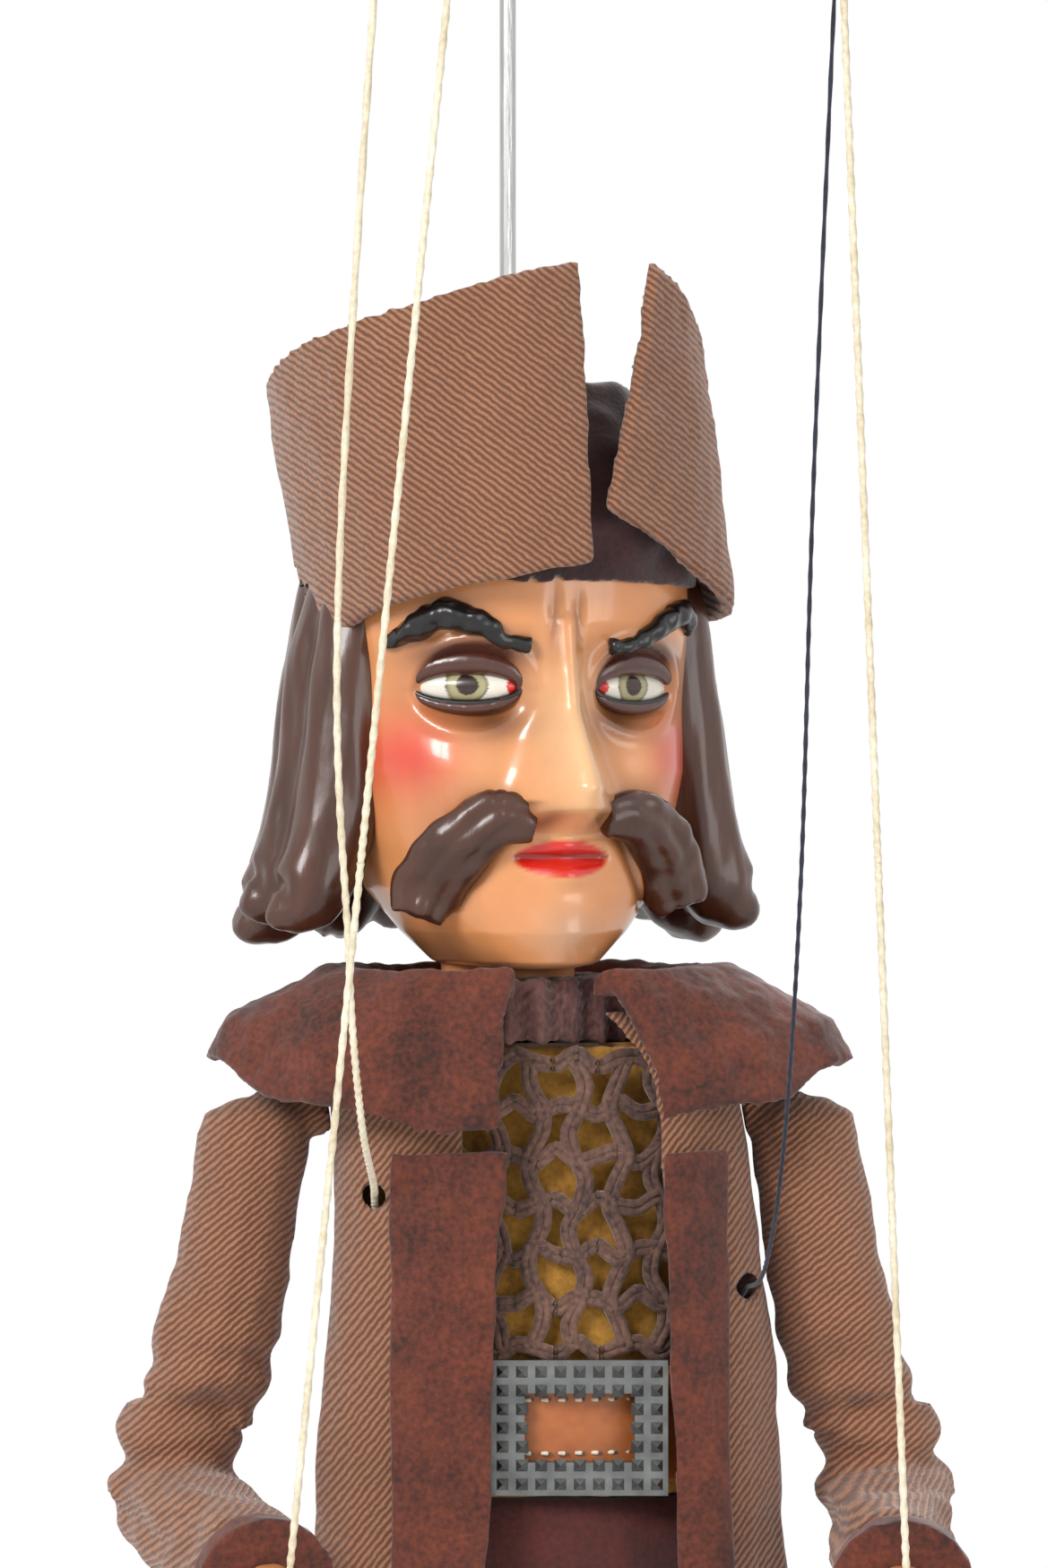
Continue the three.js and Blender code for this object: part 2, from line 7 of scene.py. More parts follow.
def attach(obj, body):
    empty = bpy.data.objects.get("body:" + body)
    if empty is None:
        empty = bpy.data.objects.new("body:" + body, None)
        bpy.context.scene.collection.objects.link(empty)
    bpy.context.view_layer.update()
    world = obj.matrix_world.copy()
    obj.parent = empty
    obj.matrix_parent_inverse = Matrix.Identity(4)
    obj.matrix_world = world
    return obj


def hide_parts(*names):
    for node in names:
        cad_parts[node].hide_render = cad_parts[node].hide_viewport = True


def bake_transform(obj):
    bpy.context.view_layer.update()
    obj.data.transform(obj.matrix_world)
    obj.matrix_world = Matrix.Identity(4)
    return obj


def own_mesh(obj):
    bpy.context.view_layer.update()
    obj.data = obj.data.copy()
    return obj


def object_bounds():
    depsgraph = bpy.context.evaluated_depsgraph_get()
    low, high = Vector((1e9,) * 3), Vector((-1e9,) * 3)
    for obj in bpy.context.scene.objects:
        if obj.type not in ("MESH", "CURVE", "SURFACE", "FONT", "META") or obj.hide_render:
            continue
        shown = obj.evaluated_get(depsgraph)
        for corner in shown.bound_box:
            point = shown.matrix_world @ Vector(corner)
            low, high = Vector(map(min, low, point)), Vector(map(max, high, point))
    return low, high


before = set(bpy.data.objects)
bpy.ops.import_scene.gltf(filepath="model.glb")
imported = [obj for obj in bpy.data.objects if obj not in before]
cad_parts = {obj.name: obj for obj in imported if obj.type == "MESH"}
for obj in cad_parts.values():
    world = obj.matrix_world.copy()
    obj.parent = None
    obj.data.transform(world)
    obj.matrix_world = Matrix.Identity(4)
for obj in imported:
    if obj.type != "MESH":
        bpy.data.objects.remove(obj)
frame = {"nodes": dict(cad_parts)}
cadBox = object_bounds()
scene = bpy.context.scene

# figure millimetres: height from the underside of the chin, front faces -Y
origin = {"x": -4.0, "y": 2.0, "z": 359.0, "faceTurn": 20.0}
turnSin = math.sin(math.radians(origin["faceTurn"]))
turnCos = math.cos(math.radians(origin["faceTurn"]))


def place(x, y, z):
    return Vector(((x - origin["x"]) / 1000, (y - origin["y"]) / 1000, (z - origin["z"]) / 1000))


def faced(x, y, z):  # a place on the head, which looks a little to +X
    return place(origin["x"] + turnCos * x - turnSin * y, origin["y"] + turnSin * x + turnCos * y, z)


def unfaced(point):
    x, y, z = point.x * 1000, point.y * 1000, point.z * 1000 + origin["z"]
    return Vector((turnCos * x + turnSin * y, -turnSin * x + turnCos * y, z))


def figure(point):
    return Vector((point.x * 1000 + origin["x"], point.y * 1000 + origin["y"], point.z * 1000 + origin["z"]))


def lin(r, g, b):
    def one(c):
        c /= 255
        return c / 12.92 if c <= 0.04045 else ((c + 0.055) / 1.055) ** 2.4
    return (one(r), one(g), one(b), 1)


def read(table, key):
    for (k0, v0), (k1, v1) in zip(table, table[1:]):
        if min(k0, k1) <= key <= max(k0, k1):
            return v0 + (v1 - v0) * (key - k0) / (k1 - k0)
    return table[0][1] if abs(key - table[0][0]) < abs(key - table[-1][0]) else table[-1][1]


def bell(d, width):
    return math.exp(-(d / width) ** 2)


def addObject(name, bm, smooth=True):
    bmesh.ops.recalc_face_normals(bm, faces=bm.faces)
    mesh = bpy.data.meshes.new(name)
    bm.to_mesh(mesh)
    bm.free()
    for polygon in mesh.polygons:
        polygon.use_smooth = smooth
    obj = bpy.data.objects.new(name, mesh)
    scene.collection.objects.link(obj)
    return obj


# A grid wrapped into a closed skin: spot(u, v) places it, u along and v around
def wrap(name, along, around, spot, bm=None):
    own = bm is None
    part = bmesh.new()
    bmesh.ops.create_grid(part, x_segments=along, y_segments=around, size=0.5)
    for vert in part.verts:
        vert.co = spot(vert.co.x + 0.5, vert.co.y + 0.5)
    bmesh.ops.remove_doubles(part, verts=part.verts, dist=1e-6)
    bmesh.ops.holes_fill(part, edges=[e for e in part.edges if e.is_boundary], sides=0)
    bmesh.ops.recalc_face_normals(part, faces=part.faces)
    if own:
        return addObject(name, part)
    mesh = bpy.data.meshes.new("part")
    part.to_mesh(mesh)
    part.free()
    bm.from_mesh(mesh)
    bpy.data.meshes.remove(mesh)
    return bm


def spline(points, at):  # centripetal-like smooth reading of points
    n = len(points) - 1
    i = min(n - 1, int(at * n))
    f = at * n - i
    p0, p1, p2, p3 = points[max(0, i - 1)], points[i], points[i + 1], points[min(n, i + 2)]
    return 0.5 * ((2 * p1) + (p2 - p0) * f + (2 * p0 - 5 * p1 + 4 * p2 - p3) * f * f + (3 * p1 - p0 - 3 * p2 + p3) * f ** 3)


def limb(name, stations, along=40, around=16, ply=0.0, twists=0.0, bm=None, flat=1.0):
    centres = [s[0] for s in stations]
    radii = [(i / (len(stations) - 1), s[1]) for i, s in enumerate(stations)]

    def spot(u, v):
        centre = spline(centres, u)
        tangent = (spline(centres, min(1, u + 0.01)) - spline(centres, max(0, u - 0.01))).normalized()
        across = Vector((1, 0, 0)) - tangent * tangent.x
        if across.length < 0.2:
            across = Vector((0, 1, 0)) - tangent * tangent.y
        across.normalize()
        up = tangent.cross(across)
        angle = 2 * math.pi * v
        r = read(radii, u) / 1000
        r *= 1 + ply * math.cos(2 * (angle - 2 * math.pi * twists * u))
        return centre + across * (r * math.cos(angle)) + up * (r * flat * math.sin(angle))
    return wrap(name, along, around, spot, bm)


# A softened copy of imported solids, shaped further by move(point, normal) in figure millimetres
def softCopy(name, nodes, voxel, smoothing, move=None):
    bm = bmesh.new()
    for node in nodes:
        bm.from_mesh(frame["nodes"][node].data)
    bmesh.ops.remove_doubles(bm, verts=bm.verts, dist=1e-6)
    return moulded(name, bm, voxel, smoothing, move)


# Overlapping forms run together into one smooth skin
def moulded(name, bm, voxel, smoothing, move=None):
    obj = addObject(name + "Start", bm)
    remesh = obj.modifiers.new("remesh", "REMESH")
    remesh.mode = "VOXEL"
    remesh.voxel_size = voxel / 1000
    smooth = obj.modifiers.new("smooth", "SMOOTH")
    smooth.factor = 0.5
    smooth.iterations = smoothing
    graph = bpy.context.evaluated_depsgraph_get()
    mesh = bpy.data.meshes.new_from_object(obj.evaluated_get(graph))
    bpy.data.objects.remove(obj)
    if move:
        normals = [v.normal.copy() for v in mesh.vertices]
        for vert, normal in zip(mesh.vertices, normals):
            vert.co += move(figure(vert.co), normal) / 1000
    for polygon in mesh.polygons:
        polygon.use_smooth = True
    mesh.name = name
    made = bpy.data.objects.new(name, mesh)
    scene.collection.objects.link(made)
    return made


def wear(obj, material):
    obj.data.materials.clear()
    obj.data.materials.append(material)
    for polygon in getattr(obj.data, "polygons", []):
        polygon.material_index = 0


# Shader groups

def newGroup(name, inputs, outputs):
    group = bpy.data.node_groups.new(name, "ShaderNodeTree")
    for socket, kind in inputs:
        group.interface.new_socket(socket, in_out="INPUT", socket_type=kind)
    for socket, kind in outputs:
        group.interface.new_socket(socket, in_out="OUTPUT", socket_type=kind)
    return group, group.nodes.new("NodeGroupInput"), group.nodes.new("NodeGroupOutput")


def mixColours(tree, factor, a, b, blend="MIX"):
    node = tree.nodes.new("ShaderNodeMix")
    node.data_type = "RGBA"
    node.blend_type = blend
    for socket, value in ((node.inputs[0], factor), (node.inputs[6], a), (node.inputs[7], b)):
        if hasattr(value, "is_output"):
            tree.links.new(value, socket)
        else:
            socket.default_value = value
    return node.outputs[2]


def calc(tree, operation, a, b):
    node = tree.nodes.new("ShaderNodeMath")
    node.operation = operation
    for socket, value in ((node.inputs[0], a), (node.inputs[1], b)):
        if hasattr(value, "is_output"):
            tree.links.new(value, socket)
        else:
            socket.default_value = value
    return node.outputs[0]


def noiseAt(tree, vector, scale, detail=3):
    node = tree.nodes.new("ShaderNodeTexNoise")
    node.inputs["Scale"].default_value = scale
    node.inputs["Detail"].default_value = detail
    tree.links.new(vector, node.inputs["Vector"])
    return node.outputs["Fac"]


clothInputs = [("Vector", "NodeSocketVector"), ("Light", "NodeSocketColor"), ("Dark", "NodeSocketColor")]
clothOutputs = [("Color", "NodeSocketColor"), ("Height", "NodeSocketFloat")]

twillGroup, groupIn, groupOut = newGroup("twillWeave", clothInputs, clothOutputs)
waveNode = twillGroup.nodes.new("ShaderNodeTexWave")
waveNode.bands_direction = "X"
waveNode.inputs["Scale"].default_value = 270  # ribs 1.7 mm apart
waveNode.inputs["Distortion"].default_value = 2.2
waveNode.inputs["Detail"].default_value = 3
waveNode.inputs["Detail Scale"].default_value = 1.6
twillGroup.links.new(groupIn.outputs["Vector"], waveNode.inputs["Vector"])
fineFuzz = noiseAt(twillGroup, groupIn.outputs["Vector"], 1400, 2)
broadFuzz = noiseAt(twillGroup, groupIn.outputs["Vector"], 60, 4)
# painted shade: the cloth colour darkens from the rib tops into the valleys between the twill ribs, following their
# height
ribHeight = calc(twillGroup, "MULTIPLY", waveNode.outputs["Fac"], calc(twillGroup, "ADD", fineFuzz, 0.45))
ribColour = mixColours(twillGroup, ribHeight, groupIn.outputs["Dark"], groupIn.outputs["Light"])
ribColour = mixColours(twillGroup, calc(twillGroup, "MULTIPLY", broadFuzz, 0.35), ribColour, groupIn.outputs["Dark"])
twillGroup.links.new(ribColour, groupOut.inputs["Color"])
twillGroup.links.new(ribHeight, groupOut.inputs["Height"])

pileGroup, groupIn, groupOut = newGroup("softPile", clothInputs, clothOutputs)
pileFine = noiseAt(pileGroup, groupIn.outputs["Vector"], 900, 3)
pileBroad = noiseAt(pileGroup, groupIn.outputs["Vector"], 90, 5)
pileMix = calc(pileGroup, "MULTIPLY", calc(pileGroup, "ADD", pileFine, pileBroad), 0.5)
pileSharp = calc(pileGroup, "MULTIPLY", calc(pileGroup, "SUBTRACT", pileMix, 0.35), 3.2)
pileGroup.links.new(mixColours(pileGroup, pileSharp, groupIn.outputs["Dark"], groupIn.outputs["Light"]), groupOut.inputs["Color"])
pileGroup.links.new(pileMix, groupOut.inputs["Height"])


def shaderFor(name, rough, metal=0.0, sheen=0.0, coat=0.0):
    material = bpy.data.materials.new(name)
    material.use_nodes = True
    shader = material.node_tree.nodes["Principled BSDF"]
    shader.inputs["Roughness"].default_value = rough
    shader.inputs["Metallic"].default_value = metal
    shader.inputs["Sheen Weight"].default_value = sheen
    shader.inputs["Coat Weight"].default_value = coat
    shader.inputs["Coat Roughness"].default_value = 0.12
    return material, material.node_tree, shader


def mappedCoordinates(tree, rotation=(0, 0, 0), scale=(1, 1, 1)):
    coordinates = tree.nodes.new("ShaderNodeTexCoord")
    mapping = tree.nodes.new("ShaderNodeMapping")
    mapping.inputs["Rotation"].default_value = [math.radians(a) for a in rotation]
    mapping.inputs["Scale"].default_value = scale
    tree.links.new(coordinates.outputs["Object"], mapping.inputs["Vector"])
    return mapping.outputs["Vector"]


def bumpTo(tree, shader, height, strength, distance):
    bump = tree.nodes.new("ShaderNodeBump")
    bump.inputs["Strength"].default_value = strength
    bump.inputs["Distance"].default_value = distance
    tree.links.new(height, bump.inputs["Height"])
    tree.links.new(bump.outputs["Normal"], shader.inputs["Normal"])


def cloth(name, group, light, dark, rotation=(0, 0, 0), scale=(1, 1, 1), sheen=0.3, bump=0.6, depth=0.0006):
    material, tree, shader = shaderFor(name, 0.9, sheen=sheen)
    node = tree.nodes.new("ShaderNodeGroup")
    node.node_tree = group
    node.inputs["Light"].default_value = light
    node.inputs["Dark"].default_value = dark
    tree.links.new(mappedCoordinates(tree, rotation, scale), node.inputs["Vector"])
    tree.links.new(node.outputs["Color"], shader.inputs["Base Color"])
    bumpTo(tree, shader, node.outputs["Height"], bump, depth)
    return material


fawnLight, fawnDark = lin(184, 128, 94), lin(98, 60, 42)
coatTwill = cloth("coatTwill", twillGroup, fawnLight, fawnDark, rotation=(0, -38, 0))
hatTwill = cloth("hatTwill", twillGroup, fawnLight, fawnDark, rotation=(0, -126, 0))
sleeveTwill = cloth("sleeveTwill", twillGroup, fawnLight, fawnDark, rotation=(0, -50, 0))
chestnutVelvet = cloth("chestnutVelvet", pileGroup, lin(116, 54, 34), lin(50, 20, 13), sheen=0.25, depth=0.0004)
hatVelvet = cloth("hatVelvet", pileGroup, lin(70, 32, 34), lin(30, 14, 16), sheen=0.4)
mustardFelt = cloth("mustardFelt", pileGroup, lin(200, 146, 56), lin(150, 100, 34), sheen=0.3, depth=0.0005)
trouserCloth = cloth("trouserCloth", pileGroup, lin(92, 34, 28), lin(54, 20, 18), sheen=0.3, depth=0.0003)
knitYarn = cloth("knitYarn", pileGroup, lin(120, 78, 70), lin(46, 26, 32), scale=(1.4, 1.4, 0.5), depth=0.0006)
netYarn = cloth("netYarn", pileGroup, lin(128, 92, 76), lin(40, 26, 28), depth=0.0005)
creamCotton = cloth("creamCotton", pileGroup, lin(244, 236, 214), lin(206, 190, 156), depth=0.0002)
darkThread = cloth("darkThread", pileGroup, lin(40, 46, 66), lin(12, 14, 22), depth=0.0001)


def grained(name, light, dark, rough, metal=0.0, coat=0.0, scale=(1, 1, 1), size=120, bump=0.2, depth=0.0003):
    material, tree, shader = shaderFor(name, rough, metal, coat=coat)
    fac = noiseAt(tree, mappedCoordinates(tree, scale=scale), size, 6)
    tree.links.new(mixColours(tree, fac, dark, light), shader.inputs["Base Color"])
    bumpTo(tree, shader, fac, bump, depth)
    return material


turnedWood = grained("turnedWood", lin(196, 140, 84), lin(120, 74, 38), 0.45, coat=0.3, scale=(8, 8, 0.6), size=60)
barWood = grained("barWood", lin(204, 150, 94), lin(132, 84, 46), 0.5, coat=0.2, scale=(1, 8, 8), size=50)
steelWire = grained("steelWire", lin(206, 206, 204), lin(150, 150, 150), 0.22, metal=1.0, scale=(6, 6, 0.4), size=300)
castMetal = grained("castMetal", lin(150, 152, 150), lin(64, 66, 66), 0.38, metal=0.9, size=220, bump=0.5)
beltLeather = grained("beltLeather", lin(196, 116, 60), lin(140, 70, 32), 0.45, coat=0.15, size=260, bump=0.4)
bootLeather = grained("bootLeather", lin(46, 40, 36), lin(18, 16, 15), 0.3, coat=0.4, size=300)
soleLeather = grained("soleLeather", lin(110, 78, 54), lin(64, 42, 30), 0.7, size=200)
blackGloss = grained("blackGloss", lin(16, 13, 12), lin(5, 5, 5), 0.3, coat=0.15, size=150, bump=0.3)
hairPaint = grained("hairPaint", lin(92, 50, 30), lin(34, 18, 12), 0.34, coat=0.25, scale=(1, 1, 0.25), size=170, bump=0.5, depth=0.0008)


def paintedFrom(name, rough, coat):
    material, tree, shader = shaderFor(name, rough, coat=coat)
    painted = tree.nodes.new("ShaderNodeAttribute")
    painted.attribute_name = "paint"
    vector = mappedCoordinates(tree)
    speckle = noiseAt(tree, vector, 140, 5)
    shade = mixColours(tree, calc(tree, "MULTIPLY", speckle, 0.25), painted.outputs["Color"], lin(120, 60, 32))
    tree.links.new(shade, shader.inputs["Base Color"])
    bumpTo(tree, shader, noiseAt(tree, vector, 260, 4), 0.15, 0.0004)
    return material


facePaint = paintedFrom("facePaint", 0.3, 0.5)
eyePaint = paintedFrom("eyePaint", 0.25, 0.3)


def paint(obj, colourOf):
    layer = obj.data.color_attributes.new("paint", "FLOAT_COLOR", "POINT")
    for vert, item in zip(obj.data.vertices, layer.data):
        item.color = colourOf(vert.co)


def blendColour(a, b, f):
    f = max(0.0, min(1.0, f))
    return tuple(x + (y - x) * f for x, y in zip(a, b))


print("stage: materials ready")

# Camera first
cameraData = bpy.data.cameras.new("camera")
cameraData.sensor_fit = "VERTICAL"
cameraData.sensor_height = 36
cameraData.lens = 148
camera = bpy.data.objects.new("camera", cameraData)
camera.location = (0.003, -1.232, -0.3232)
camera.rotation_euler = (math.radians(90), 0, 0)
scene.collection.objects.link(camera)
scene.camera = camera

# Head
head = {
    "bottom": 0.5, "top": 103,
    "half": [(0, 12), (8, 20.5), (16, 27), (26, 30.5), (38, 33), (50, 33.5), (66, 34), (78, 34), (92, 31), (104, 20)],
    "front": [(0, 27), (8, 31), (16, 31), (26, 30), (38, 30), (50, 28), (58, 30), (66, 32.5), (78, 32), (92, 28), (104, 17)],
    "back": [(0, 12), (8, 20), (16, 27), (26, 33), (38, 37), (50, 39), (66, 41), (78, 41), (92, 37), (104, 24)],
    "nose": [(26, 0), (28.5, 7), (31, 14), (35, 16.5), (40, 14), (48, 9.5), (56, 6), (63, 2.5), (68, 0)],
    "noseHalf": [(26, 6), (31, 9.5), (36, 8.5), (44, 6), (56, 4.5), (68, 4)],
    "eye": (16.5, 54.0),
}


def headSpot(u, v):
    rise = -math.cos(math.pi * u)
    z = head["bottom"] + (head["top"] - head["bottom"]) * (rise + 1) / 2
    angle = 2 * math.pi * v
    s, c = math.sin(angle), math.cos(angle)
    closing = min(1.0, math.sin(math.pi * u) * 3.2) if u > 0.5 else min(1.0, math.sin(math.pi * u) * 3.6)
    closing = math.sin(closing * math.pi / 2)
    depth = read(head["front"], z) if c > 0 else read(head["back"], z)
    x = read(head["half"], z) * closing * math.copysign(abs(s) ** 0.92, s)
    y = -depth * closing * math.copysign(abs(c) ** 0.92, c)
    if c > 0:
        out = read(head["nose"], z) * bell(x, read(head["noseHalf"], z) * 0.8)
        out += 1.8 * bell(math.hypot(abs(x) - 7, z - 31), 3.6)  # wings of the nose
        side = math.hypot(abs(x) - head["eye"][0], (z - head["eye"][1]) * 1.2)
        out -= 4.2 * bell(side, 9)
        out += 1.5 * bell(side - 10.5, 1.8) * (1 if z < head["eye"][1] else 1.4)
        out += 2.2 * bell(math.hypot(abs(x) - 22, z - 40), 9)  # cheeks
        out += 2.4 * bell(math.hypot(abs(x) * 0.45, z - 24.5), 2.3) + 2.6 * bell(math.hypot(abs(x) * 0.5, z - 19), 2.6)
        out -= 1.4 * bell(math.hypot(max(0, abs(x) - 8), z - 22), 1.0)
        out += 3.5 * bell(math.hypot(x, z - 7), 9)  # chin
        out -= 1.1 * bell(abs(x) - 2.4, 0.9) * bell(z - 66, 5)  # frown creases
        fold = 9 + (31 - z) * 0.55
        out -= 1.0 * bell(abs(x) - fold, 1.4) * (1 if 12 < z < 33 else 0)
        y -= out
    return faced(x, y, z)


def faceY(x, z):  # front of the head beside the middle line
    share = min(0.98, abs(x) / read(head["half"], z)) ** (1 / 0.92)
    return -read(head["front"], z) * (1 - share * share) ** 0.46


face = wrap("face_and_skull", 210, 280, headSpot)
skin, skinHighlight, skinRed = lin(230, 154, 96), lin(250, 200, 146), lin(226, 74, 58)
lipRed, lidPaintAndShadeBrown, chinHighlightGrey = lin(224, 30, 22), lin(66, 30, 20), lin(176, 150, 128)
mouth = {"z": 21.8, "half": 9.6, "rise": 3.6}


def faceColour(point):
    p = unfaced(point)
    x, z = abs(p.x), p.z
    # painted highlight: lighter skin down the ridge of the nose and on the cheekbones
    colour = blendColour(skin, skinHighlight, bell(math.hypot(p.x, (z - 42) * 0.35), 6) + 0.4 * bell(math.hypot(x - 18, z - 40), 6))
    if p.y < -5:
        colour = blendColour(colour, skinRed, 0.95 * bell(math.hypot(x - 27, z - 41), 8))
        side = math.hypot(x - head["eye"][0], (z - head["eye"][1]) * 1.25)
        # dark brown lid paint round the eye and on the hood above it
        colour = blendColour(colour, lidPaintAndShadeBrown, 0.9 * bell(side, 8.5) + 1.2 * bell(x - 17, 9) * bell(z - 60, 3))
        # painted shade: a dark brown patch below the inner part of the eye
        colour = blendColour(colour, lidPaintAndShadeBrown, 0.75 * bell(math.hypot((x - 12) * 0.6, z - 47.5), 3.5))
        # painted shade in the frown creases between the brows
        colour = blendColour(colour, lidPaintAndShadeBrown, 0.55 * bell(x - 2.4, 1) * bell(z - 66, 6))
        # painted shade along the folds running from the nose wings down beside the mouth
        colour = blendColour(colour, lidPaintAndShadeBrown, 0.7 * bell(x - 9 - (31 - z) * 0.55, 1.6) * (1 if 12 < z < 33 else 0))
        # painted shade at the nostrils beside the nose wings
        colour = blendColour(colour, lidPaintAndShadeBrown, 0.7 * bell(math.hypot(x - 5, z - 29), 2.2))
        lips = 1 - math.hypot(x / mouth["half"], (z - mouth["z"]) / mouth["rise"])
        colour = blendColour(colour, lipRed, lips * 9)
        if lips > 0:
            colour = blendColour(colour, lin(96, 8, 8), 0.8 * bell(z - mouth["z"] - 0.6, 0.6))
        # painted highlight: a pale greyish patch on the front of the chin
        colour = blendColour(colour, chinHighlightGrey, 0.6 * bell(math.hypot(p.x, z - 8), 6))
    return colour


paint(face, faceColour)
wear(face, facePaint)
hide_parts("head")
headPieces = [face]

eyeForm = {"half": 8.8, "rise": 3.1, "bulge": 3.6, "iris": 3.6, "pupil": 1.9}
hairForm = {"locks": 6, "from": 74, "to": 152}  # angles from the front of the head
# brow and moustache: out from the middle, height, radius
browSpots = {
    -1: [(6.8, 61.6, 1.6), (11.4, 62.3, 1.3), (15.6, 65.3, 2.3), (21.7, 67.4, 3.1), (26.5, 65, 2.7), (30.5, 61.6, 0.9)],
    1: [(9.0, 61.5, 1.6), (14, 62, 1.4), (19, 64.5, 2.0), (24, 67.5, 2.4), (28, 68, 2.6), (30.5, 64, 0.9)],
}
whiskerSpots = {
    -1: [(6.5, 28.4, 3.0), (13, 29.5, 4.6), (19.5, 24, 5.6), (23.5, 16.5, 6.0), (25.5, 11, 4.2)],
    1: [(7.5, 29.4, 3.0), (15, 29.6, 4.6), (22, 24, 5.4), (26, 16.5, 5.6), (27.5, 12.5, 3.8)],
}
for side, label in ((-1, "right"), (1, "left")):
    def eyeSpot(out, rise, forward):  # out from the eye's middle, following the turn of the face
        return faced(side * (head["eye"][0] + out), -22 + 0.5 * out - forward, head["eye"][1] + rise)

    eye = wrap(label + "_eye", 70, 96, lambda u, v: eyeSpot(
        eyeForm["half"] * math.sin(math.pi * u) * math.cos(2 * math.pi * v),
        eyeForm["rise"] * math.sin(math.pi * u) * math.sin(2 * math.pi * v), eyeForm["bulge"] * math.cos(math.pi * u)))

    def eyeColour(point):
        p = unfaced(point)
        d = math.hypot(p.x - side * head["eye"][0] + 0.6, p.z - head["eye"][1] - 0.3)
        if d < eyeForm["pupil"]:
            return lin(16, 16, 18)
        if d < eyeForm["iris"]:
            return blendColour(lin(176, 170, 128), lin(104, 104, 82), (d - 2.9) * 1.6)
        corner = math.hypot(p.x - side * (head["eye"][0] - 7.4), (p.z - head["eye"][1]) * 0.8)
        return lin(214, 34, 30) if corner < 1.1 else lin(240, 236, 222)
    paint(eye, eyeColour)
    wear(eye, eyePaint)
    headPieces.append(eye)
    lids, lines = bmesh.new(), bmesh.new()
    for rise, thick, lift in ((1, 2.5, 1.5), (-1, 1.2, 0.9)):
        hood, line = [], []
        for k in range(9):
            a = math.radians(180 * k / 8)
            out, up = (eyeForm["half"] + 0.4) * math.cos(a), rise * eyeForm["rise"] * math.sin(a)
            hood.append((eyeSpot(out, up + rise * lift * math.sin(a), 0.6 + 1.4 * math.sin(a)), thick * (0.4 + 0.6 * math.sin(a))))
            line.append((eyeSpot(out, up + rise * 0.1, 0.9 + 1.3 * math.sin(a)), 0.45 + 0.3 * math.sin(a)))
        limb("", hood, 40, 14, bm=lids)
        limb("", line, 40, 10, bm=lines)
    lid = moulded(label + "_eyelids", lids, 0.45, 2)
    paint(lid, lambda point: lidPaintAndShadeBrown)
    wear(lid, facePaint)
    liner = addObject(label + "_eye_line", lines)
    wear(liner, blackGloss)
    headPieces += [lid, liner]
    browForm = bmesh.new()
    limb("", [(faced(side * x, faceY(x, z) - 0.8, z), r) for x, z, r in browSpots[side]], 60, 22, bm=browForm)
    brow = moulded(label + "_brow", browForm, 0.5, 2, lambda p, n: n * 0.7 * noise.noise(p / 2.6))
    wear(brow, blackGloss)
    whiskers = bmesh.new()
    spots = whiskerSpots[side]
    for strand in (-1, 0, 1):
        line = []
        for i, (x, z, r) in enumerate(spots):
            before, after = spots[max(0, i - 1)], spots[min(len(spots) - 1, i + 1)]
            along = Vector((after[0] - before[0], after[1] - before[1])).normalized()
            sideX, sideZ = x - along.y * strand * r * 0.6, z + along.x * strand * r * 0.6
            line.append((faced(side * sideX, min(faceY(x, z) - 3.2, -21) - 0.8 * (strand == 0), sideZ), r * 0.6))
        limb("", line, 40, 16, bm=whiskers)
    moustache = moulded(label + "_moustache", whiskers, 0.55, 3, lambda p, n: n * 0.5 * noise.noise(p / 4))
    wear(moustache, hairPaint)
    locks = bmesh.new()
    for k in range(hairForm["locks"]):
        f = k / (hairForm["locks"] - 1)
        a = math.radians(hairForm["from"] + (hairForm["to"] - hairForm["from"]) * f)
        x0, y0 = side * 35 * math.sin(a), -34 * math.cos(a) + 5
        wave = 2.5 * math.sin(k * 2.3)
        limb("", [(faced(x0 * 0.92, y0, 74), 6), (faced(x0 * 0.98, y0 * 1.02, 58 + wave), 7.6), (faced(x0 * 1.04, y0 * 1.04, 42 + wave), 7.6),
            (faced(x0 * 1.1, y0 * 1.05, 27 + wave), 8), (faced(x0 * 1.2 + side, y0 * 1.06, 16 + wave), 7.6),
            (faced(x0 * 1.3 + side * 2, y0 * 1.08, 12.5 + wave), 5.4), (faced(x0 * 1.38 + side * 2.5, y0 * 1.1, 13.5 + wave), 2.4)],
            44, 18, bm=locks)
    hair = moulded(label + "_hair", locks, 0.9, 3, lambda p, n: n * (0.7 * noise.noise(Vector((p.x, p.y, p.z * 0.25)) / 4)))
    wear(hair, hairPaint)
    headPieces += [brow, moustache, hair]
backLocks = bmesh.new()
for k in range(7):
    x0 = (k - 3) * 7.5
    limb("", [(faced(x0, 35, 74), 7), (faced(x0 * 1.05, 38, 52), 8.5), (faced(x0 * 1.1, 39, 30), 8.5), (faced(x0 * 1.15, 42, 14), 6),
        (faced(x0 * 1.2, 45, 10), 3)], 30, 16, bm=backLocks)
backHair = moulded("back_hair", backLocks, 0.9, 3, lambda p, n: n * 0.6 * noise.noise(Vector((p.x, p.y, p.z * 0.25)) / 4))
wear(backHair, hairPaint)
neckStub = limb("neck_stub", [(place(-4, 2, -8), 12.8), (place(-4, 2, 2), 12.8), (place(-4, 0, 10), 14)], 10, 28)
paint(neckStub, lambda point: skin)
wear(neckStub, facePaint)
headPieces += [backHair, neckStub]
for piece in headPieces:
    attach(piece, "control")
print("stage: head")


def rough(scale, size):
    return lambda p, n: n * size * noise.noise(p / scale)


def dress(obj, material, slotName, body, *nodes):
    wear(obj, material)
    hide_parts(*nodes)
    if body:
        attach(obj, body)
    return obj


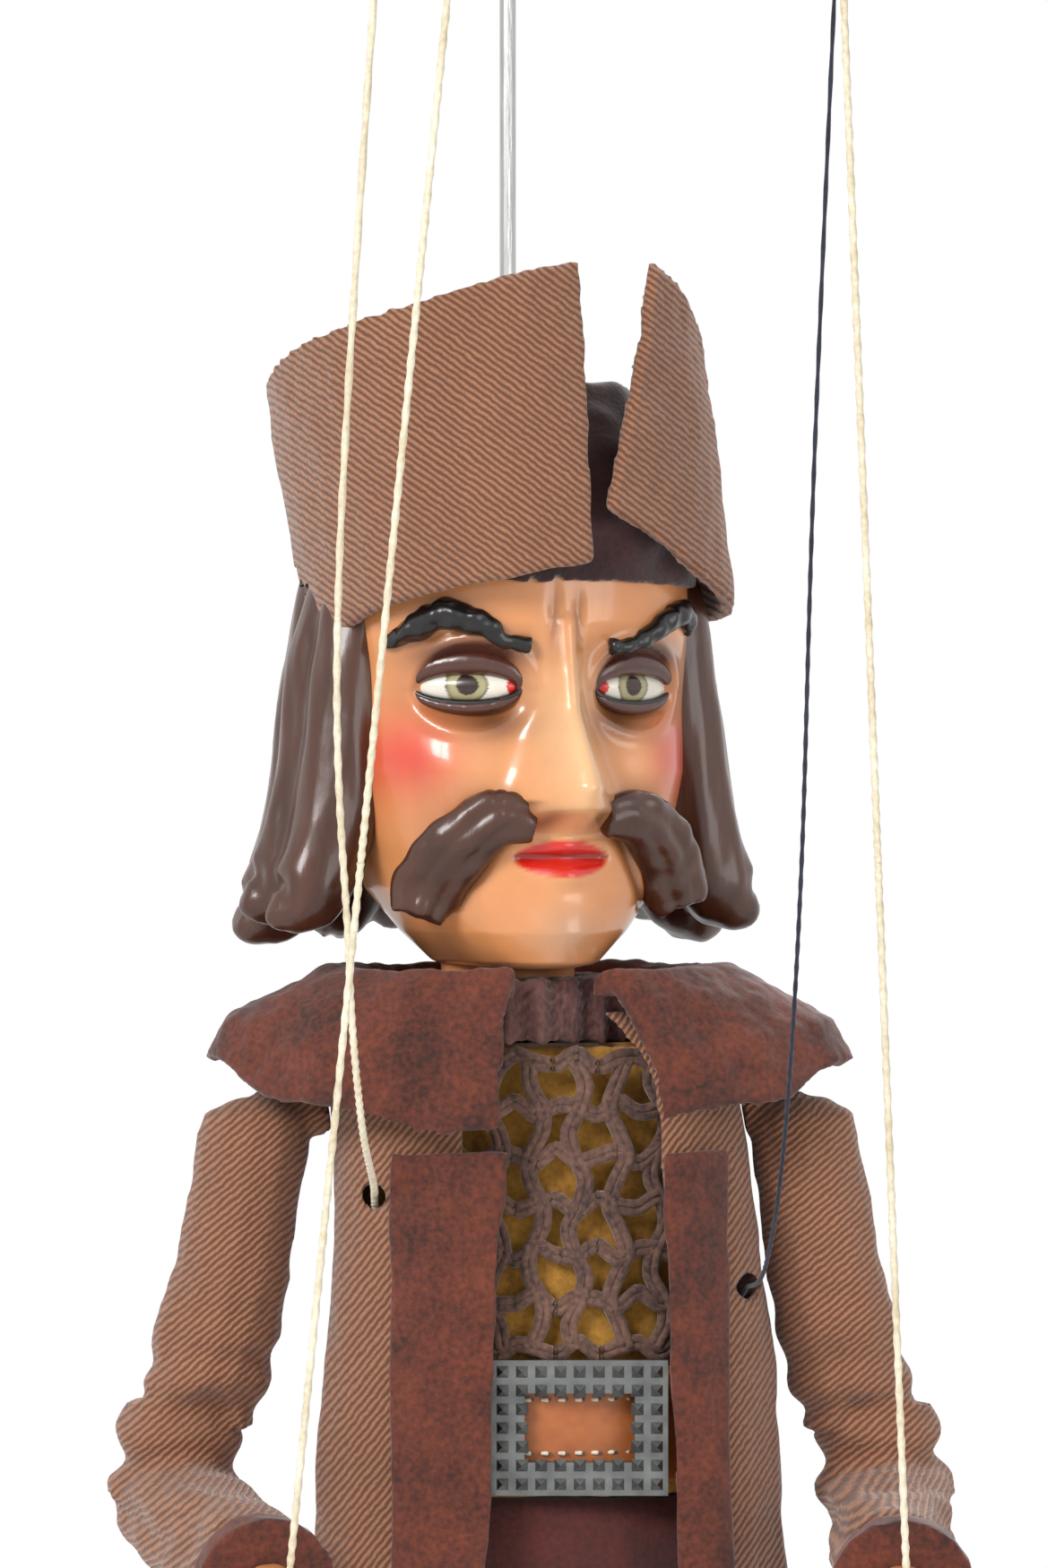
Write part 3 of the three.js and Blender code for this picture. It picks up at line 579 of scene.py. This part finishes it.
# Hat
dress(softCopy("hat_turned_cuff", ["hat_cuff"], 1.1, 3, lambda p, n: n * (0.6 * noise.noise(p / 9) + 0.35 * noise.noise(p / 2.2) * (p.z > 100))),
    hatTwill, "coat_twill", "control", "hat_cuff")
dress(softCopy("hat_velvet_crown", ["hat_crown"], 1.2, 6, rough(7, 1.2)), hatVelvet, "hat_velvet", "control", "hat_crown")

# Trunk
def knitRibs(p, n):
    angle = math.atan2(p.y - origin["y"], p.x - origin["x"])
    return n * (0.35 * math.cos(24 * angle) + 0.25 * math.cos(p.z * 2.6 + 3 * math.sin(24 * angle)))


dress(softCopy("turtleneck", ["knit_collar"], 0.5, 2, knitRibs), knitYarn, "rib_knit", "torso", "knit_collar")
dress(softCopy("felt_waistcoat", ["felt_vest"], 1.0, 3, rough(5, 0.3)), mustardFelt, "mustard_felt", "torso", "felt_vest")
dress(softCopy("trouser_top", ["trouser_seat"], 1.2, 3, rough(8, 0.5)), trouserCloth, "trouser_cloth", "torso", "trouser_seat")


def coatFolds(p, n):
    angle = math.atan2(p.x - 3, -p.y)
    hang = max(0.0, (-p.z - 40) / 90)
    return n * (1.0 * hang * math.sin(9 * angle) + 0.8 * noise.noise(p / 16) + 0.3 * noise.noise(p / 5))


dress(softCopy("coat_cloth", ["coat_body"], 1.1, 4, coatFolds), coatTwill, "coat_twill", "torso", "coat_body")
dress(softCopy("velvet_collar", ["coat_collar"], 0.9, 5,
    lambda p, n: n * (1.0 * noise.noise(p / 11) + 0.45 * noise.noise(p / 3))), chestnutVelvet, "chestnut_velvet", "torso", "coat_collar")
for label in ("right", "left"):
    dress(softCopy(label + "_velvet_lapel", [label + "_lapel"], 0.8, 3, coatFolds), chestnutVelvet, "chestnut_velvet", "torso", label + "_lapel")

# Net waistcoat: doubled yarn in an open mesh over the felt
net = {"left": -14.0, "right": 32.0, "top": -16.0, "bottom": -70.0, "columns": 6, "rows": 6, "yarn": 0.85}


def netY(x):
    return -21.9 * (1 - min(0.95, abs(x / 35.5)) ** 2.3) ** (1 / 2.3)


netStrands = bmesh.new()
stepX = (net["right"] - net["left"]) / net["columns"]
stepZ = (net["top"] - net["bottom"]) / net["rows"]
for row in range(net["rows"] + 1):
    for k in (-1, 1):
        points = []
        for i in range(net["columns"] * 2 + 1):
            x = net["left"] + i * stepX / 2
            z = net["top"] - row * stepZ + 1.4 * math.sin(i * 2.4 + row)
            points.append((place(x, netY(x) - 0.6 - 0.5 * ((i + k) % 2), z + k * 0.75), net["yarn"]))
        limb("", points, 70, 8, bm=netStrands)
for column in range(net["columns"] + 1):
    for k in (-1, 1):
        points = []
        for j in range(net["rows"] * 2 + 1):
            z = net["top"] - j * stepZ / 2
            x = net["left"] + column * stepX + 1.6 * math.sin(j * 1.57 + column * 2)
            x = max(net["left"], min(net["right"], x))
            points.append((place(x + k * 0.75, netY(x) - 0.6 - 0.5 * ((j + k) % 2), z), net["yarn"]))
        limb("", points, 70, 8, bm=netStrands)
dress(addObject("net_waistcoat", netStrands), netYarn, "net_yarn", "torso", "net_vest")

# Belt with two rows of stitches
strap = softCopy("leather_belt", ["belt_strap"], 0.9, 2)
dress(strap, beltLeather, "belt_leather", "torso", "belt_strap")
stitches = bmesh.new()
for rowZ in (-79.5, -89.5):
    for i in range(34):
        angle = math.radians(-85 + i * 5)
        x, y = 36.9 * math.sin(angle), -23.4 * math.cos(angle)
        limb("", [(place(x - 0.9, y, rowZ), 0.35), (place(x, y - 0.15, rowZ), 0.45), (place(x + 0.9, y, rowZ), 0.35)], 6, 6, bm=stitches)
stitchRow = addObject("belt_stitches", stitches)
wear(stitchRow, creamCotton)
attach(stitchRow, "torso")
print("stage: trunk")

# Arms and legs: one cloth tube over each joint
elbowZ, kneeZ = -100, -208


def sleeveFolds(p, n):
    near = bell(p.z + 92, 22)
    return n * (1.1 * near * math.sin(p.z * 0.62 + 2 * noise.noise(p / 14)) + 0.9 * noise.noise(p / 13) + 0.25 * noise.noise(p / 4))


def legFolds(p, n):
    return n * (0.9 * bell(p.z - kneeZ, 26) * math.sin(p.z * 0.5 + 2 * noise.noise(p / 16)) + 0.7 * noise.noise(p / 14))


def joinedTube(name, nodes, x, y, z, r, voxel, smoothing, move):
    filler = limb(name + "Filler", [(place(x, y, z + r * 1.5), r * 0.9), (place(x, y, z), r), (place(x, y, z - r * 0.4), r * 0.8)], 10, 20)
    frame["nodes"][name + "Filler"] = filler
    made = softCopy(name, nodes + [name + "Filler"], voxel, smoothing, move)
    del frame["nodes"][name + "Filler"]
    bpy.data.objects.remove(filler)
    return made


for label, s in (("right", -1), ("left", 1)):
    sleeve = joinedTube(label + "_sleeve", [label + "_upper_sleeve", label + "_lower_sleeve"], s * 67.5, 7, elbowZ, 12, 1.0, 6, sleeveFolds)
    dress(sleeve, sleeveTwill, "coat_twill", None, label + "_upper_sleeve", label + "_lower_sleeve")
    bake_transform(sleeve)
    dress(softCopy(label + "_velvet_cuff", [label + "_cuff"], 0.7, 3, rough(4, 0.4)), chestnutVelvet, "chestnut_velvet", label + "_forearm", label + "_cuff")
    hand = softCopy(label + "_painted_hand", [label + "_hand"], 0.6, 5)
    paint(hand, lambda point: skin)
    dress(hand, facePaint, "painted_plaster", label + "_forearm", label + "_hand")
    leg = joinedTube(label + "_trouser_leg", [label + "_thigh", label + "_shin"], s * 20, -2, kneeZ, 13, 1.2, 6, legFolds)
    dress(leg, trouserCloth, "trouser_cloth", None, label + "_thigh", label + "_shin")
    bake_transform(leg)
    dress(softCopy(label + "_tall_boot", [label + "_boot"], 0.9, 5, rough(9, 0.3)), bootLeather, "boot_leather", label + "_shin", label + "_boot")
print("stage: limbs")

# Strings: each in two parts, an upper part from the bar and a lower part hung on the torso
string = {"cotton": 0.65, "thread": 0.4, "ply": 0.16, "lay": 4.0}
barZ, legReach, legHalf, handReach, handHalf = 231.2, 62, 44, 79, 34


def barEnd(reach, across):
    return place(origin["x"] + turnSin * reach + turnCos * across, origin["y"] - turnCos * reach + turnSin * across, barZ)


def turnAbout(point, pivot, degrees):
    return pivot + Matrix.Rotation(math.radians(-degrees), 3, "X") @ (point - pivot)


def handTie(s, wrist):
    away = Vector((wrist[0] - s * 68.5, wrist[1] - 8, wrist[2] + 100)).normalized()
    return place(wrist[0] + away.x * 22, wrist[1] + away.y * 22, wrist[2] + away.z * 22 + 6.8)


rightHand, leftHand = handTie(-1, (-50, -48, -110)), handTie(1, (68, -50, -110))
rightTop, leftTop = barEnd(handReach, -handHalf), barEnd(handReach, handHalf)
splitShare = 0.62
rightSplit, leftSplit = rightTop.lerp(rightHand, splitShare), leftTop.lerp(leftHand, splitShare)
rightKnee = [barEnd(legReach, -legHalf)] + [place(*p) for p in ((-34.5, -58, 75), (-33, -50, 5), (-31, -43, -25), (-29, -28, -38.5),
    (-29, -18.8, -41.5), (-29, -15, -47.5), (-29, -16.5, -60), (-29, -18, -75), (-28, -20, -100), (-26, -22, -130), (-20, -16.3, -204))]
leftKnee = [barEnd(legReach, legHalf)] + [place(*p) for p in ((52.5, -46, 98), (50, -46, 20), (47, -43, -30), (44, -30, -54),
    (41, -16, -59), (39, -12.5, -65), (37.5, -13, -85), (36, -16, -105), (30, -21, -130), (20, -16.3, -204))]


def lineOf(name, points, radius, material, slotName):
    length = sum((b - a).length for a, b in zip(points, points[1:])) * 1000
    obj = limb(name, [(p, radius) for p in points], int(length / 1.1), 10, ply=string["ply"], twists=length / string["lay"] / 2)
    wear(obj, material)
    return obj


def follow(obj, top, tie, moved):
    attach(obj, "torso")
    tuple(top)
    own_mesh(obj)


for label, s, top, split, tie in (("right", -1, rightTop, rightSplit, rightHand), ("left", 1, leftTop, leftSplit, leftHand)):
    upper = lineOf(label + "_hand_string_upper", [top, top.lerp(split, 0.5), split], string["cotton"], creamCotton, "cream_cord")
    lower = lineOf(label + "_hand_string_lower", [split, split.lerp(tie, 0.5), tie], string["cotton"], creamCotton, "cream_cord")
    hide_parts(label + "_hand_string")
    tuple(top)
    tuple(split)
    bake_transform(upper)
    elbowPivot, shoulderPivot = place(s * 68.5, 8, -100), place(s * 52, 0, -27)
    follow(lower, split, tie, turnAbout(turnAbout(tie, elbowPivot, 40), shoulderPivot, 8))
for label, s, points, cut, radius, material, slotName in (("right", -1, rightKnee, 5, string["cotton"], creamCotton, "cream_cord"),
        ("left", 1, leftKnee, 5, string["thread"], darkThread, "dark_thread")):
    upper = lineOf(label + "_knee_string_upper", points[:cut + 1], radius, material, slotName)
    lower = lineOf(label + "_knee_string_lower", points[cut:], radius, material, slotName)
    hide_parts(label + "_knee_string")
    tuple(points[0])
    tuple(points[cut])
    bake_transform(upper)
    follow(lower, points[cut], points[-1], turnAbout(points[-1], place(s * 20, 0, -129), 45))

# Knots round the bars
for label, top, material, slotName in (("right_hand", rightTop, creamCotton, "cream_cord"), ("left_hand", leftTop, creamCotton, "cream_cord"),
        ("right_knee", rightKnee[0], creamCotton, "cream_cord"), ("left_knee", leftKnee[0], darkThread, "dark_thread")):
    knot = bmesh.new()
    for k in range(4):
        shift = (k - 1.5) * 1.4
        loop = []
        for i in range(17):
            a = 2 * math.pi * i / 16
            depth, rise = 5.4 * math.copysign(abs(math.cos(a)) ** 0.5, math.cos(a)), 4.8 * math.copysign(abs(math.sin(a)) ** 0.5, math.sin(a))
            loop.append((top + Vector(((turnCos * shift + turnSin * depth) / 1000, (turnSin * shift - turnCos * depth) / 1000, (4.6 + rise) / 1000)), 0.65))
        limb("", loop, 48, 8, bm=knot)
    turns = addObject(label + "_string_knot", knot)
    wear(turns, material)
    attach(turns, "control")
print("stage: strings")

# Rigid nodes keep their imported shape
for node, material in (("grip", turnedWood), ("control_arm", barWood), ("leg_bar", barWood), ("hand_bar", barWood), ("hanging_hook", steelWire),
        ("head_wire", steelWire), ("body_block", barWood), ("belt_buckle", castMetal), ("right_sole", soleLeather), ("left_sole", soleLeather)):
    obj = frame["nodes"][node]
    wear(obj, material)
    if node in ("control_arm", "leg_bar", "hand_bar", "belt_buckle"):
        edge = obj.modifiers.new("edge", "BEVEL")
        edge.width = 0.0006 if node == "belt_buckle" else 0.0012
        edge.segments = 2
        edge.limit_method = "ANGLE"

# Floor and light
floorMesh = bmesh.new()
bmesh.ops.create_circle(floorMesh, cap_ends=True, segments=64, radius=1.4)
for vert in floorMesh.verts:
    vert.co.z = cadBox[0][2] - 0.0005
floor = addObject("floor", floorMesh)
floorMaterial, floorTree, floorShader = shaderFor("floorPaper", 0.9)
floorShader.inputs["Base Color"].default_value = (0.86, 0.86, 0.86, 1)
wear(floor, floorMaterial)

world = bpy.data.worlds.new("studio")
scene.world = world
world.use_nodes = True
worldTree = world.node_tree
backdrop = worldTree.nodes["Background"]
rays = worldTree.nodes.new("ShaderNodeLightPath")
seen = calc(worldTree, "MAXIMUM", rays.outputs["Is Camera Ray"], rays.outputs["Is Glossy Ray"])
strength = calc(worldTree, "ADD", calc(worldTree, "MULTIPLY", seen, 0.55), 0.45)
backdrop.inputs["Color"].default_value = (1, 1, 1, 1)
worldTree.links.new(strength, backdrop.inputs["Strength"])


def lamp(name, position, target, size, power):
    data = bpy.data.lights.new(name, "AREA")
    data.size = size
    data.energy = power
    obj = bpy.data.objects.new(name, data)
    obj.location = position
    obj.rotation_euler = (Vector(target) - Vector(position)).to_track_quat("-Z", "Y").to_euler()
    scene.collection.objects.link(obj)


lamp("keyLamp", (-0.9, -1.3, 0.5), (0, 0, -0.33), 0.6, 24)
lamp("fillLamp", (1.2, -1.0, -0.1), (0, 0, -0.33), 0.9, 7)
lamp("backLamp", (0.3, 1.3, 0.5), (0, 0, -0.33), 0.8, 10)
scene.view_settings.view_transform = "Standard"

print("stage: finished")
